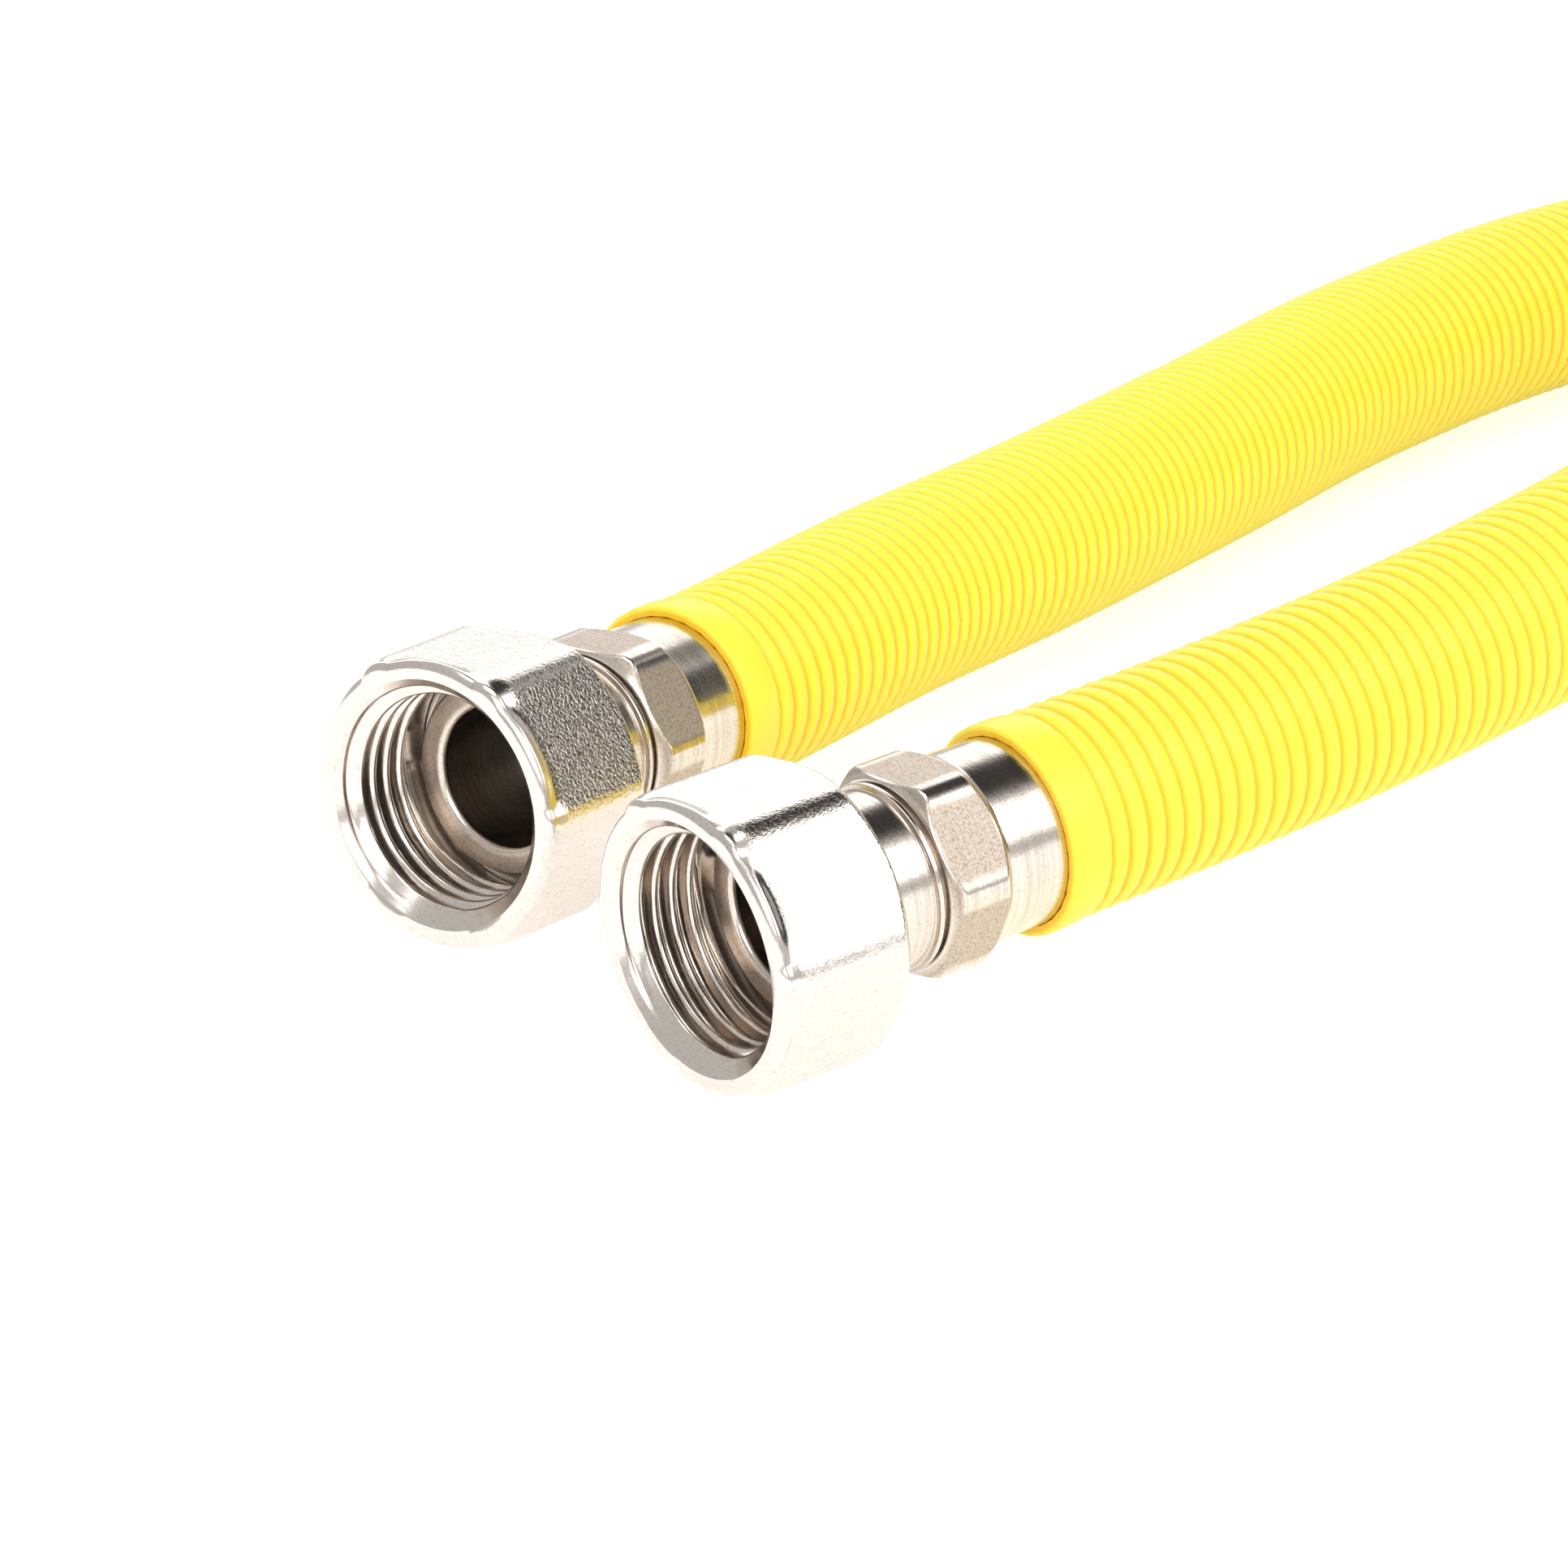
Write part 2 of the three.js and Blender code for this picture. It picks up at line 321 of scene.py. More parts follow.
class Finish(Shading):
    """A material made of one shader and the nodes that feed it."""

    def __init__(self, name):
        self.material = bpy.data.materials.new(name)
        self.material.use_nodes = True
        super().__init__(self.material.node_tree)
        self.shader = self.nodes["Principled BSDF"]

    def set(self, **sockets):
        """Sets the shader's sockets, named with underscores for spaces."""
        for name, value in sockets.items():
            words = name.replace("_", " ").title()
            self.feed(self.shader.inputs[words], value)

    def place(self):
        """The piece's own coordinates, in millimetres."""
        return self.node("ShaderNodeAttribute", {"attribute_name": "place"}, output=1)

    def stretched(self, vector, scale):
        """A vector multiplied part by part, which squeezes a texture along each axis."""
        settings = {"operation": "MULTIPLY"}
        return self.node("ShaderNodeVectorMath", settings, {0: vector, 1: scale})

    def grain(self, vector, scale, detail=2.0, roughness=0.5):
        inputs = {"Vector": vector, "Scale": scale, "Detail": detail, "Roughness": roughness}
        return self.node("ShaderNodeTexNoise", None, inputs)

    def mixed(self, factor, first, second):
        settings = {"data_type": "RGBA"}
        inputs = {0: factor, 6: rgba(first), 7: rgba(second)}
        return self.node("ShaderNodeMix", settings, inputs, output=2)

    def bump(self, height, depth):
        return self.node("ShaderNodeBump", None, {"Height": height, "Distance": depth})


def rgba(value):
    if isinstance(value, Signal):
        return value
    return (*value, 1.0)


def nut_finish(colours):
    """Bright nickel plating with a fine pebbled grain."""
    finish = Finish("nickel_plated_nut")
    place = finish.place()
    across, upper, station = finish.split(place)
    radius = (across * across + upper * upper).root()
    on_flats = radius.clipped(11.6, 11.9) * station.clipped(1.3, 2.2)
    pebbles = finish.grain(place, 3.3, 2.0, 0.6)
    clouds = finish.grain(place, 0.9, 2.0)
    pebble_stain = pebbles.clipped(0.52, 0.72) * 0.28
    cloud_stain = clouds.clipped(0.5, 0.8) * 0.12
    relief_off_flats = 0.08
    relief = on_flats * (1 - relief_off_flats) + relief_off_flats
    relief_depth = 0.06 * MM
    finish.set(
        base_color=finish.mixed(pebble_stain + cloud_stain, colours.nut, colours.nut_stain),
        metallic=1.0,
        roughness=0.1 + pebbles * 0.16,
        normal=finish.bump(pebbles * relief, relief_depth),
    )
    return finish.material


def fitting_finish(colours):
    """Turned nickel plating: fine rings round the axis, matt flats on the small hexagon, and
    painted shade that darkens the seat deep in the nut.
    """
    finish = Finish("nickel_plated_fitting")
    place = finish.place()
    across, upper, station = finish.split(place)
    radius = (across * across + upper * upper).root()
    on_hexagon = station.clipped(20.8, 21.2) * (1 - station.clipped(26.5, 26.9))
    matt = on_hexagon * (1 - radius.clipped(9.0, 9.35))
    # The seat deep inside the nut: its facing rings and extra roughness are its own, and its
    # darker, browner colour is painted shade.
    on_seat = (1 - station.clipped(9.0, 9.3)) * radius.clipped(6.4, 6.9)
    marks_per_mm = 6
    facing = finish.node("ShaderNodeCombineXYZ", None, {0: radius * marks_per_mm})
    seat_rings = finish.grain(facing, 1.0, 2.0)
    side_rings = finish.grain(finish.stretched(place, (0.05, 0.05, 7.0)), 1.0, 2.0)
    marks = side_rings * (1 - on_seat) + seat_rings * on_seat
    pebbles = finish.grain(place, 4.5, 2.0)
    pebble_stain = pebbles.clipped(0.5, 0.7) * 0.25
    mark_stain = marks.clipped(0.45, 0.65) * 0.3
    relief_depth = 0.016 * MM
    plated = finish.mixed(pebble_stain + mark_stain, colours.fitting, colours.fitting_stain)
    # Matt colour of the hexagon's flats, also mixed onto the seat as painted shade.
    matt_and_seat_shade = finish.mixed(pebbles.clipped(0.4, 0.7), colours.hexagon_flat, colours.fitting_stain)
    finish.set(
        base_color=finish.mixed(matt * 0.8 + on_seat * 0.45, plated, matt_and_seat_shade),
        metallic=1.0,
        roughness=0.13 + marks * 0.14 + matt * 0.22 + on_seat * 0.1,
        normal=finish.bump(marks * 0.6 + pebbles * 0.4, relief_depth),
    )
    return finish.material


def spring_finish(colours):
    """Spring steel with fine drawing marks."""
    finish = Finish("spring_steel")
    drawn = finish.grain(finish.stretched(finish.place(), (1.0, 1.0, 5.0)), 2.0)
    finish.set(base_color=rgba(colours.ring), metallic=1.0, roughness=0.3 + drawn * 0.2)
    return finish.material


def tube_finish(colours):
    """Bright stainless steel with faint drawing marks."""
    finish = Finish("bright_tube")
    drawn = finish.grain(finish.stretched(finish.place(), (1.0, 4.0, 1.0)), 0.5)
    finish.set(base_color=rgba(colours.tube), metallic=1.0, roughness=0.2 + drawn * 0.15)
    return finish.material


def sheath_finish(colours, crest_radius):
    """Yellow plastic, with painted shade that turns the grooves a deeper, more orange yellow."""
    finish = Finish("yellow_plastic")
    radius = finish.split(finish.place())[2]
    # Painted shade: a mask of the grooves, from their depth below the crests, where the colour
    # turns deeper orange-yellow.
    in_groove_shade = (crest_radius - radius).clipped(0.08, 0.42)
    object_place = finish.node("ShaderNodeTexCoord", output=3)
    skin = finish.grain(object_place, 900.0, 2.0)
    relief_depth = 0.01 * MM
    finish.set(
        base_color=finish.mixed(in_groove_shade, colours.sheath, colours.sheath_groove_shade),
        roughness=0.34 + skin * 0.1,
        normal=finish.bump(skin, relief_depth),
    )
    return finish.material


def end_matrix(end):
    """Local +Z runs from the mouth along the hose and +Y is the upper side, in millimetres."""
    place = END_PLACES[end]
    yaw = math.radians(place["yaw"])
    pitch = math.radians(place["pitch"])
    level = math.cos(pitch)
    along = Vector((math.cos(yaw) * level, math.sin(yaw) * level, math.sin(pitch)))
    across = Vector((-math.sin(yaw), math.cos(yaw), 0))
    upper = along.cross(across)
    nut = bpy.context.scene.gas_hose.nut
    height = nut.axis_height * level - nut.resting_edge * math.sin(pitch)
    turned = Matrix((across, upper, along)).transposed().to_4x4()
    return Matrix.Translation((*place["mouth"], height)) @ turned


def rounded(corners, parts=3):
    """The closed outline through (radius, station, rounding) corners, each one rounded off."""
    largest_share = 0.45
    outline = []
    for i, (radius, station, rounding) in enumerate(corners):
        here = Vector((radius, station))
        if rounding == 0:
            outline.append(here)
            continue
        before = Vector(corners[i - 1][:2])
        after = Vector(corners[(i + 1) % len(corners)][:2])
        to_before = max((before - here).length, TINY)
        to_after = max((after - here).length, TINY)
        start = here.lerp(before, min(rounding / to_before, largest_share))
        finish = here.lerp(after, min(rounding / to_after, largest_share))
        for k in range(parts + 1):
            t = k / parts
            outline.append(start.lerp(here, t).lerp(here.lerp(finish, t), t))
    return outline


def spun_strip(points, steps, sweep=FULL_TURN):
    """A closed strip of points spun round Z, and (vertex, point, slice) for each vertex."""
    bm = bmesh.new()
    step = sweep / steps
    strip = [bm.verts.new((1, 0, i)) for i in range(points)]
    edges = [bm.edges.new(pair) for pair in zip(strip, strip[1:] + strip[:1])]
    whole = abs(sweep - FULL_TURN) < TINY
    bmesh.ops.spin(
        bm,
        geom=strip + edges,
        axis=(0, 0, 1),
        cent=(0, 0, 0),
        angle=sweep,
        steps=steps,
        use_merge=whole,
    )
    indexed = []
    for vert in bm.verts:
        angle = math.atan2(vert.co.y, vert.co.x) % FULL_TURN
        slice_number = round(angle / step)
        if whole:
            slice_number %= steps
        indexed.append((vert, round(vert.co.z), slice_number))
    return bm, indexed


def finished_piece(name, bm, places, material):
    """Turns the bmesh into an object that carries its own coordinates in the attribute place."""
    bmesh.ops.recalc_face_normals(bm, faces=bm.faces)
    mesh = bpy.data.meshes.new(name)
    bm.to_mesh(mesh)
    bm.free()
    mesh.shade_smooth()
    attribute = mesh.attributes.new("place", "FLOAT_VECTOR", "POINT")
    attribute.data.foreach_set("vector", [value for place in places for value in place])
    mesh.materials.append(material)
    piece = bpy.data.objects.new(name, mesh)
    bpy.context.scene.collection.objects.link(piece)
    return piece


def keep_flats_flat(piece):
    """Normals weighted by area, so that the rounded edges don't shade the flats."""
    share_of_area = 80
    weighted = piece.modifiers.new("flat_faces", "WEIGHTED_NORMAL")
    weighted.weight = share_of_area


def hexagon_radius(angle, across_flats, rounding):
    """Distance from the axis to a hexagon with rounded corners at every 60 degrees."""
    sector = FULL_TURN / 6
    half_sector = sector / 2
    from_corner = abs((angle + half_sector) % sector - half_sector)
    corner = across_flats / 2 / math.cos(half_sector)
    centre = corner - rounding / math.cos(half_sector)
    foot = rounding * math.sin(half_sector), centre + rounding * math.cos(half_sector)
    if from_corner >= math.atan2(*foot):
        return across_flats / 2 / math.cos(half_sector - from_corner)
    side = centre * math.sin(from_corner)
    return centre * math.cos(from_corner) + math.sqrt(rounding**2 - side**2)


def hexagon_slices(turn):
    """Angles of a hexagon's slices from its turn in degrees, close together near the corners."""
    from_corner = (0, 1.2, 2.4, 3.6, 4.8, 6, 7.2, 9, 13, 17.5, 22, 26)
    half = [*from_corner, 30]
    sector = half + [60 - angle for angle in reversed(from_corner[1:])]
    return [math.radians(turn + 60 * side + angle) for side in range(6) for angle in sector]


def lathe_piece(name, end, angles, outline_at, material):
    """A piece of an end, whose outline of (radius, station) may change with the angle."""
    outlines = [outline_at(angle) for angle in angles]
    bm, indexed = spun_strip(len(outlines[0]), len(angles))
    matrix = end_matrix(end)
    places = []
    for vert, point, slice_number in indexed:
        radius, station = outlines[slice_number][point]
        angle = angles[slice_number]
        local = Vector((radius * math.cos(angle), radius * math.sin(angle), station))
        places.append(local)
        vert.co = matrix @ local * MM
    piece = finished_piece(name, bm, places, material)
    keep_flats_flat(piece)
    return piece


def thread_radius(sizes, station, angle):
    """Radius of the internal thread with its countersink, at a depth and an angle."""
    root_share = 0.14
    flank_share = 0.72
    phase = (station / sizes.thread_pitch - angle / FULL_TURN) % 1
    from_root = abs(phase - 0.5) * 2
    flank = min(max((from_root - root_share) / flank_share, 0), 1)
    height = 1 - flank * flank * (3 - 2 * flank)
    deep = sizes.thread_major_radius - sizes.thread_minor_radius
    cut = sizes.thread_minor_radius + deep * height
    return max(cut, sizes.mouth_radius - station)


def nut_outline(sizes, angle):
    """Outside of a nut from its mouth to the lip, then the inside and the thread back to it."""
    hexagon = hexagon_radius(angle, sizes.across_flats, sizes.corner_rounding)
    corner = hexagon_radius(0, sizes.across_flats, sizes.corner_rounding)
    rear_slope = sizes.rear_chamfer / (corner - sizes.rear_face_radius)
    rear = rear_slope * (hexagon - sizes.rear_face_radius)
    rim = max(sizes.rim_radius, hexagon - sizes.rim_step)
    corners = [
        (rim - sizes.rim_bevel, 0, 0.3),
        (rim, sizes.rim_edge, 0.3),
        (rim, sizes.rim_thickness, 0.3),
        (hexagon, sizes.rim_foot, 0.8),
        (hexagon, sizes.length - rear, 0.3),
        (sizes.rear_face_radius, sizes.length, 0.12),
        (sizes.lip_hole_radius, sizes.length, 0.15),
        (sizes.lip_hole_radius, sizes.lip_front, 0.1),
        (sizes.relief_radius, sizes.lip_front, 0.2),
        (sizes.relief_radius, sizes.relief_start, 0.1),
    ]
    samples_per_turn = 14
    turns = sizes.thread_end / sizes.thread_pitch
    samples = round(turns * samples_per_turn)
    for i in range(samples, -1, -1):
        station = sizes.thread_end * i / samples
        corners.append((thread_radius(sizes, station, angle), station, 0))
    return rounded(corners)


def build_union_nut(end):
    settings = bpy.context.scene.gas_hose
    material = shared_finish("nut", lambda: nut_finish(settings.finishes))
    piece = lathe_piece(
        f"{end}_nut_body",
        end,
        hexagon_slices(0),
        lambda angle: nut_outline(settings.nut, angle),
        material,
    )
    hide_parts(f"{end}_union_nut")
    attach(piece, f"{end}_nut")


def fitting_outline(sizes, angle):
    """Outside of a fitting from its seat to the hose, and its bore back to the seat."""
    flats = sizes.hex_across_flats
    hexagon = hexagon_radius(angle, flats, sizes.hex_rounding)
    corner = hexagon_radius(0, flats, sizes.hex_rounding)
    front_slope = (sizes.hex_front_tip - sizes.hex_front) / (corner - sizes.hex_front_face_radius)
    rear_slope = (sizes.hex_rear - sizes.hex_rear_tip) / (corner - sizes.collar_radius)
    front = sizes.hex_front + front_slope * (hexagon - sizes.hex_front_face_radius)
    rear = sizes.hex_rear - rear_slope * (hexagon - sizes.collar_radius)
    bead_middle = (sizes.bead_front + sizes.groove_front) / 2
    bead_lean = 0.08
    groove_lean = 0.02
    corners = [
        (sizes.flange_radius, sizes.seat_depth, 0.2),
        (sizes.flange_radius, sizes.flange_back, 0.15),
        (sizes.neck_radius, sizes.flange_back, 0.2),
        (sizes.neck_radius, sizes.bead_front, 0.1),
        (sizes.bead_radius, sizes.bead_front + bead_lean, 0.2),
        (sizes.bead_radius, bead_middle, 0),
        (sizes.bead_radius, sizes.groove_front - groove_lean, 0.2),
        (sizes.groove_radius, sizes.groove_front, 0.05),
        (sizes.groove_radius, sizes.hex_front, 0.05),
        (sizes.hex_front_face_radius, sizes.hex_front, 0.15),
        (hexagon, front, 0.25),
        (hexagon, rear, 0.25),
        (sizes.collar_radius, sizes.hex_rear, 0.4),
        (sizes.collar_radius, sizes.collar_end, 0.1),
        (sizes.bore_radius, sizes.collar_end, 0.1),
        (sizes.bore_radius, sizes.seat_depth, sizes.bore_rounding),
    ]
    return rounded(corners, parts=4)


def build_end_fitting(end):
    settings = bpy.context.scene.gas_hose
    material = shared_finish("fitting", lambda: fitting_finish(settings.finishes))
    piece = lathe_piece(
        f"{end}_fitting_body",
        end,
        hexagon_slices(END_PLACES[end]["hex_turn"]),
        lambda angle: fitting_outline(settings.fitting, angle),
        material,
    )
    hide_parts(f"{end}_end_fitting")
    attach(piece, "hose")


def build_retaining_ring(end):
    settings = bpy.context.scene.gas_hose
    sizes = settings.ring
    rounding = 0.15
    outline = rounded([
        (sizes.outer_radius, sizes.front, rounding),
        (sizes.outer_radius, sizes.back, rounding),
        (sizes.inner_radius, sizes.back, rounding),
        (sizes.inner_radius, sizes.front, rounding),
    ])
    half_gap = sizes.split / 2 / sizes.inner_radius
    sweep = FULL_TURN - 2 * half_gap
    steps = 72
    bm, indexed = spun_strip(len(outline), steps, sweep)
    bmesh.ops.holes_fill(bm, edges=[edge for edge in bm.edges if edge.is_boundary], sides=0)
    matrix = end_matrix(end)
    places = []
    for vert, point, slice_number in indexed:
        radius, station = outline[point]
        angle = half_gap + sweep * slice_number / steps
        local = Vector((radius * math.cos(angle), radius * math.sin(angle), station))
        places.append(local)
        vert.co = matrix @ local * MM
    material = shared_finish("spring", lambda: spring_finish(settings.finishes))
    piece = finished_piece(f"{end}_split_ring", bm, places, material)
    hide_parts(f"{end}_retaining_ring")
    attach(piece, f"{end}_carrier")


FINISHES_MADE = {}


def shared_finish(name, make):
    """A material that is made once and used by several pieces."""
    if name not in FINISHES_MADE:
        FINISHES_MADE[name] = make()
    return FINISHES_MADE[name]


def smooth_route(gap):
    """Points about a millimetre apart along the route, in millimetres."""
    collar_end = bpy.context.scene.gas_hose.fitting.collar_end
    start = end_matrix("near") @ Vector((0, 0, collar_end + gap))
    finish = end_matrix("far") @ Vector((0, 0, collar_end + gap))
    knots = [start, *(Vector(point) for point in ROUTE), finish]
    knots = [2 * knots[0] - knots[1], *knots, 2 * knots[-1] - knots[-2]]
    parts = 36
    points = []
    for p0, p1, p2, p3 in zip(knots, knots[1:], knots[2:], knots[3:]):
        d0 = math.sqrt((p1 - p0).length)
        d1 = math.sqrt((p2 - p1).length)
        d2 = math.sqrt((p3 - p2).length)
        leave = ((p1 - p0) / d0 - (p2 - p0) / (d0 + d1) + (p2 - p1) / d1) * d1
        arrive = ((p2 - p1) / d1 - (p3 - p1) / (d1 + d2) + (p3 - p2) / d2) * d1
        for k in range(parts):
            t = k / parts
            square = 3 * (p2 - p1) - 2 * leave - arrive
            cube = 2 * (p1 - p2) + leave + arrive
            points.append(p1 + t * leave + t * t * square + t * t * t * cube)
    points.append(finish)
    return points


class Route:
    """The hose's centre line: where it is, and which way it runs, at a length along it."""

    def __init__(self, points):
        self.points = points
        self.marks = [0.0]
        for before, after in zip(points, points[1:]):
            self.marks.append(self.marks[-1] + (after - before).length)
        self.length = self.marks[-1]
        self.at = 0

    def frame(self, along):
        """(centre, side, upper) at a length along the route, also a little before and after it."""
        while self.at > 0 and self.marks[self.at] > along:
            self.at -= 1
        while self.at < len(self.points) - 2 and self.marks[self.at + 1] < along:
            self.at += 1
        i = self.at
        share = (along - self.marks[i]) / (self.marks[i + 1] - self.marks[i])
        centre = self.points[i].lerp(self.points[i + 1], share)
        share = min(max(share, 0), 1)
        here = self.direction(i).lerp(self.direction(i + 1), share)
        side = Vector((0, 0, 1)).cross(here).normalized()
        return centre, side, here.cross(side).normalized()

    def direction(self, i):
        before = self.points[max(i - 1, 0)]
        after = self.points[min(i + 1, len(self.points) - 1)]
        return (after - before).normalized()


# Where the points of one rib lie, as shares of its pitch from groove to groove.
FINE_RIB = (0, 0.07, 0.16, 0.3, 0.5, 0.7, 0.84, 0.93)
COARSE_RIB = (0, 0.12, 0.35, 0.65, 0.88)


def sheath_outline(sizes, length):
    """Outer side from the near cuff to the far one and the plain inner side back.

    Each point is a radius and a length along the route.
    """
    lip = sizes.lip_over_collar
    cuff = sizes.cuff_length
    groove_radius = sizes.crest_radius - sizes.rib_depth
    rounding = 0.3
    near_cuff = [
        (sizes.lip_radius, -lip, 0.05),
        (sizes.cuff_radius, -lip, rounding),
        (sizes.cuff_radius, cuff / 2, 0),
        (sizes.crest_radius, cuff - rounding, rounding),
    ]
    outline = rounded([*near_cuff, (groove_radius, cuff, 0)])[:-1]
    ribs = round((length - 2 * cuff) / sizes.rib_pitch)
    pitch = (length - 2 * cuff) / ribs
    for rib in range(ribs):
        start = cuff + rib * pitch
        fine = start < sizes.fine_near or start > length - sizes.fine_far
        for share in FINE_RIB if fine else COARSE_RIB:
            outline.append(Vector((rib_radius(sizes, share), start + share * pitch)))
    outline.append(Vector((groove_radius, length - cuff)))
    far_cuff = [(radius, length - along, edge) for radius, along, edge in reversed(near_cuff)]
    outline += rounded([(groove_radius, length - cuff, 0), *far_cuff])[1:]
    inner_steps = 70
    wall_start = 0.4
    for i in range(inner_steps + 1):
        along = length - wall_start - (length - 2 * wall_start) * i / inner_steps
        outline.append(Vector((sizes.inner_radius, along)))
    return outline


def rib_radius(sizes, share):
    """A wide round crest between narrow grooves."""
    flatness = 2.5
    from_crest = abs(2 * share - 1)
    return sizes.crest_radius - sizes.rib_depth * from_crest**flatness


def tube_outline(sizes, length):
    """Corrugations outside, and a plain wall inside."""
    swing = (sizes.tube_crest_radius - sizes.tube_valley_radius) / 2
    middle = (sizes.tube_crest_radius + sizes.tube_valley_radius) / 2
    samples_per_wave = 6
    samples = samples_per_wave * round(length / sizes.tube_pitch)
    outline = []
    for i in range(samples + 1):
        wave = -swing * math.cos(FULL_TURN * i / samples_per_wave)
        outline.append(Vector((middle + wave, length * i / samples)))
    inner_radius = sizes.tube_valley_radius - sizes.tube_wall
    inner_steps = 60
    for i in range(inner_steps, -1, -1):
        outline.append(Vector((inner_radius, length * i / inner_steps)))
    return outline


def laid_tube(name, outline, sides, route, material):
    """A spun tube bent along the route, whose own coordinates are (length, turn, radius)."""
    bm, indexed = spun_strip(len(outline), sides)
    frames = [route.frame(along) for radius, along in outline]
    turns = [FULL_TURN * k / sides for k in range(sides)]
    directions = [(math.cos(turn), math.sin(turn)) for turn in turns]
    places = []
    for vert, point, slice_number in indexed:
        radius, along = outline[point]
        centre, side, upper = frames[point]
        cosine, sine = directions[slice_number]
        vert.co = (centre + radius * (cosine * side + sine * upper)) * MM
        places.append((along, turns[slice_number], radius))
    return finished_piece(name, bm, places, material)


def build_hose():
    settings = bpy.context.scene.gas_hose
    sizes = settings.hose
    route = Route(smooth_route(sizes.start_gap))
    tube_material = shared_finish("tube", lambda: tube_finish(settings.finishes))
    tube_sides = 16
    tube = laid_tube(
        "bellows_tube",
        tube_outline(sizes, route.length),
        tube_sides,
        route,
        tube_material,
    )
    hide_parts("corrugated_steel_tube")
    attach(tube, "hose")
    sheath_material = shared_finish(
        "sheath", lambda: sheath_finish(settings.finishes, sizes.crest_radius)
    )
    sheath = laid_tube(
        "ribbed_sheath",
        sheath_outline(sizes, route.length),
        sizes.sides,
        route,
        sheath_material,
    )
    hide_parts("yellow_sheath")
    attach(sheath, "hose")
    points_per_step = 24
    path = [tuple(point * MM) for point in route.points[::points_per_step]]
    path.append(tuple(route.points[-1] * MM))


def build_camera(stage):
    azimuth = math.radians(stage.azimuth)
    elevation = math.radians(stage.elevation)
    roll = math.radians(stage.roll)
    back = Vector((
        math.sin(azimuth) * math.cos(elevation),
        -math.cos(azimuth) * math.cos(elevation),
        math.sin(elevation),
    ))
    right = Vector((math.cos(azimuth), math.sin(azimuth), 0))
    upper = back.cross(right)
    rolled_right = right * math.cos(roll) + upper * math.sin(roll)
    rolled_upper = upper * math.cos(roll) - right * math.sin(roll)
    data = bpy.data.cameras.new("camera")
    data.sensor_width = 36
    data.lens = stage.lens
    data.clip_start = 0.01
    data.clip_end = 20
    camera = bpy.data.objects.new("camera", data)
    turned = Matrix((rolled_right, rolled_upper, back)).transposed().to_4x4()
    camera.matrix_world = Matrix.Translation(Vector(stage.target) + back * stage.distance) @ turned
    bpy.context.scene.collection.objects.link(camera)
    bpy.context.scene.camera = camera


def add_softbox(name, direction, distance, width, height, power):
    """An area lamp that faces the middle of the two ends from a direction."""
    data = bpy.data.lights.new(name, "AREA")
    data.shape = "RECTANGLE"
    data.size = width
    data.size_y = height
    data.energy = power
    lamp = bpy.data.objects.new(name, data)
    towards = Vector(direction).normalized()
    turned = towards.to_track_quat("Z", "Y").to_matrix().to_4x4()
    lamp.matrix_world = Matrix.Translation(towards * distance) @ turned
    bpy.context.scene.collection.objects.link(lamp)


def build_floor(stage):
    """A pale floor that glows to the camera and in metal, and still takes a shadow."""
    glow_to_camera = 0.65
    glow_in_metal = 0.45
    bm = bmesh.new()
    bmesh.ops.create_grid(bm, x_segments=1, y_segments=1, size=stage.floor_size / 2)
    mesh = bpy.data.meshes.new("floor")
    bm.to_mesh(mesh)
    bm.free()
    floor = bpy.data.objects.new("floor", mesh)
    bpy.context.scene.collection.objects.link(floor)
    finish = Finish("white_floor")
    finish.set(base_color=(0.92, 0.92, 0.92, 1), roughness=0.7)
    finish.shader.inputs["Specular IOR Level"].default_value = 0.1
    mirrored = finish.ray("Is Glossy Ray") + finish.ray("Is Transmission Ray")
    glow = finish.ray("Is Camera Ray") * glow_to_camera + mirrored * glow_in_metal
    finish.shader.inputs["Emission Color"].default_value = (1, 1, 1, 1)
    finish.feed(finish.shader.inputs["Emission Strength"], glow)
    mesh.materials.append(finish.material)


def build_world():
    """Even studio light with a few dark places, which bright metal shows as dark bands.

    The camera itself sees plain white.
    """
    world = bpy.data.worlds.new("studio")
    bpy.context.scene.world = world
    world.use_nodes = True
    shading = Shading(world.node_tree)
    direction = shading.node("ShaderNodeTexCoord")
    settings = {"operation": "DOT_PRODUCT"}
    darkness = 0.96
    light = 0.58
    for place, inner, outer in DARK_PLACES:
        inputs = {0: direction, 1: tuple(Vector(place).normalized())}
        nearness = shading.node("ShaderNodeVectorMath", settings, inputs, output=1)
        limits = math.cos(math.radians(outer)), math.cos(math.radians(inner))
        light = light * (1 - nearness.clipped(*limits) * darkness)
    seen = shading.ray("Is Camera Ray")
    background = world.node_tree.nodes["Background"]
    background.inputs["Color"].default_value = (1, 1, 1, 1)
    shading.feed(background.inputs["Strength"], seen + (1 - seen) * light)


class GASHOSE_OT_stage(bpy.types.Operator):
    """Sets up the floor, the lamps and the camera"""
    bl_idname = "gas_hose.stage"
    bl_label = "Stage"

    def execute(self, context):
        stage = context.scene.gas_hose.stage
        context.scene.view_settings.view_transform = "Standard"
        build_camera(stage)
        build_floor(stage)
        build_world()
        for softbox in SOFTBOXES:
            add_softbox(*softbox)
        return {"FINISHED"}


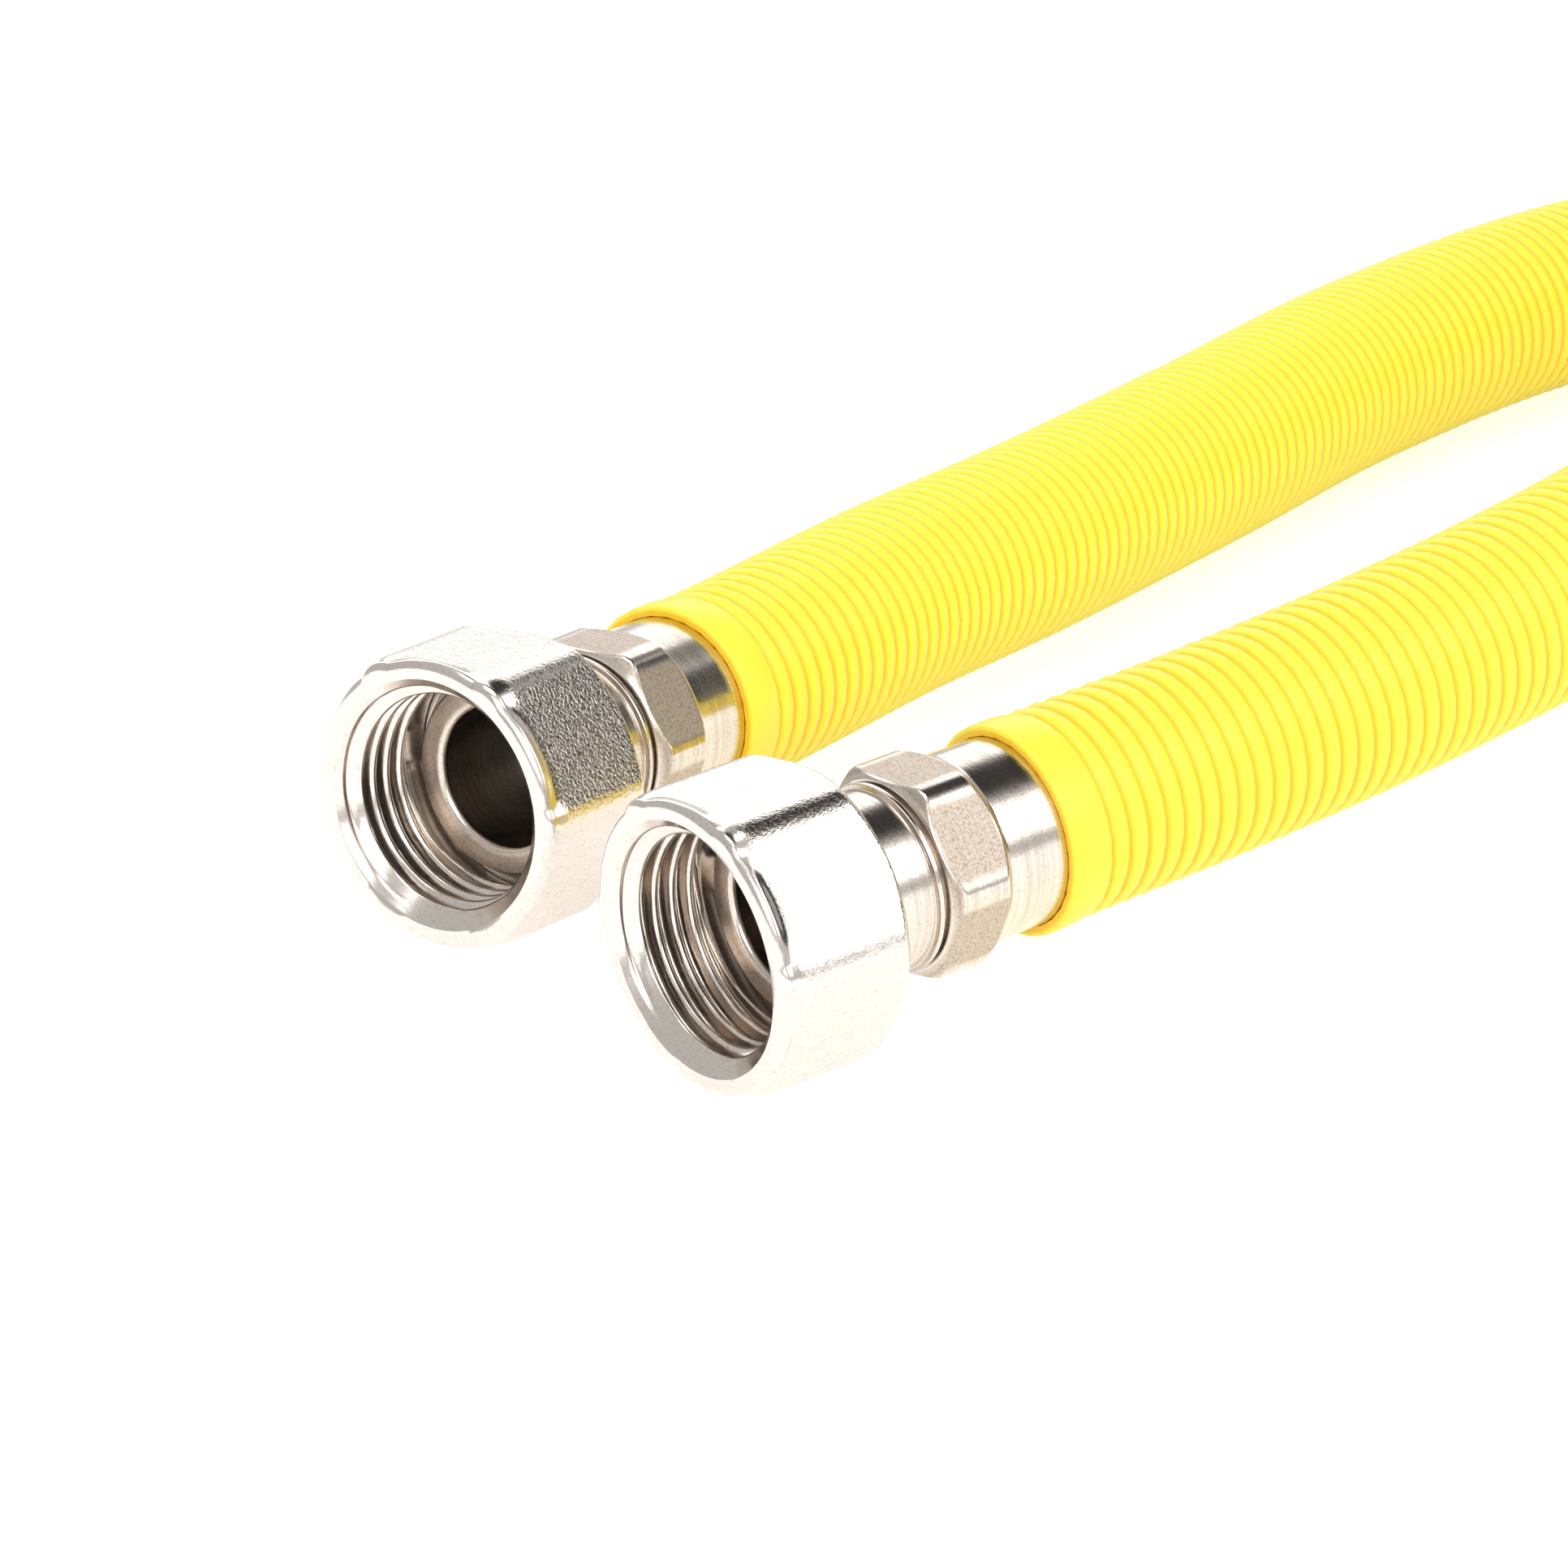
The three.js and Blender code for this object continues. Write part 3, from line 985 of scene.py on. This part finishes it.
class GASHOSE_OT_hose(bpy.types.Operator):
    """Lays the ribbed sheath and the corrugated tube along the route"""
    bl_idname = "gas_hose.hose"
    bl_label = "Hose"

    def execute(self, context):
        build_hose()
        return {"FINISHED"}


class GASHOSE_OT_union_nuts(bpy.types.Operator):
    """Makes the two union nuts with their internal threads"""
    bl_idname = "gas_hose.union_nuts"
    bl_label = "Union nuts"

    def execute(self, context):
        for end in END_PLACES:
            build_union_nut(end)
        return {"FINISHED"}


class GASHOSE_OT_end_fittings(bpy.types.Operator):
    """Makes the two turned end fittings"""
    bl_idname = "gas_hose.end_fittings"
    bl_label = "End fittings"

    def execute(self, context):
        for end in END_PLACES:
            build_end_fitting(end)
        return {"FINISHED"}


class GASHOSE_OT_retaining_rings(bpy.types.Operator):
    """Makes the two split rings inside the nuts"""
    bl_idname = "gas_hose.retaining_rings"
    bl_label = "Retaining rings"

    def execute(self, context):
        for end in END_PLACES:
            build_retaining_ring(end)
        return {"FINISHED"}


class GASHOSE_PT_panel(bpy.types.Panel):
    """Buttons for the hose's pieces"""
    bl_label = "Gas hose"
    bl_idname = "GASHOSE_PT_panel"
    bl_space_type = "VIEW_3D"
    bl_region_type = "UI"
    bl_category = "Gas hose"

    def draw(self, context):
        column = self.layout.column()
        for operator in OPERATORS:
            column.operator(operator.bl_idname)


OPERATORS = (
    GASHOSE_OT_stage,
    GASHOSE_OT_hose,
    GASHOSE_OT_union_nuts,
    GASHOSE_OT_end_fittings,
    GASHOSE_OT_retaining_rings,
)
CLASSES = (
    NutSizes,
    FittingSizes,
    RingSizes,
    HoseSizes,
    Finishes,
    StageSettings,
    GasHoseSettings,
    *OPERATORS,
    GASHOSE_PT_panel,
)


def register():
    for each in CLASSES:
        bpy.utils.register_class(each)
    bpy.types.Scene.gas_hose = PointerProperty(type=GasHoseSettings)


def unregister():
    del bpy.types.Scene.gas_hose
    for each in reversed(CLASSES):
        bpy.utils.unregister_class(each)


def main():
    register()
    bpy.ops.gas_hose.stage()
    bpy.ops.gas_hose.hose()
    bpy.ops.gas_hose.union_nuts()
    bpy.ops.gas_hose.end_fittings()
    bpy.ops.gas_hose.retaining_rings()


if __name__ == "__main__":
    main()
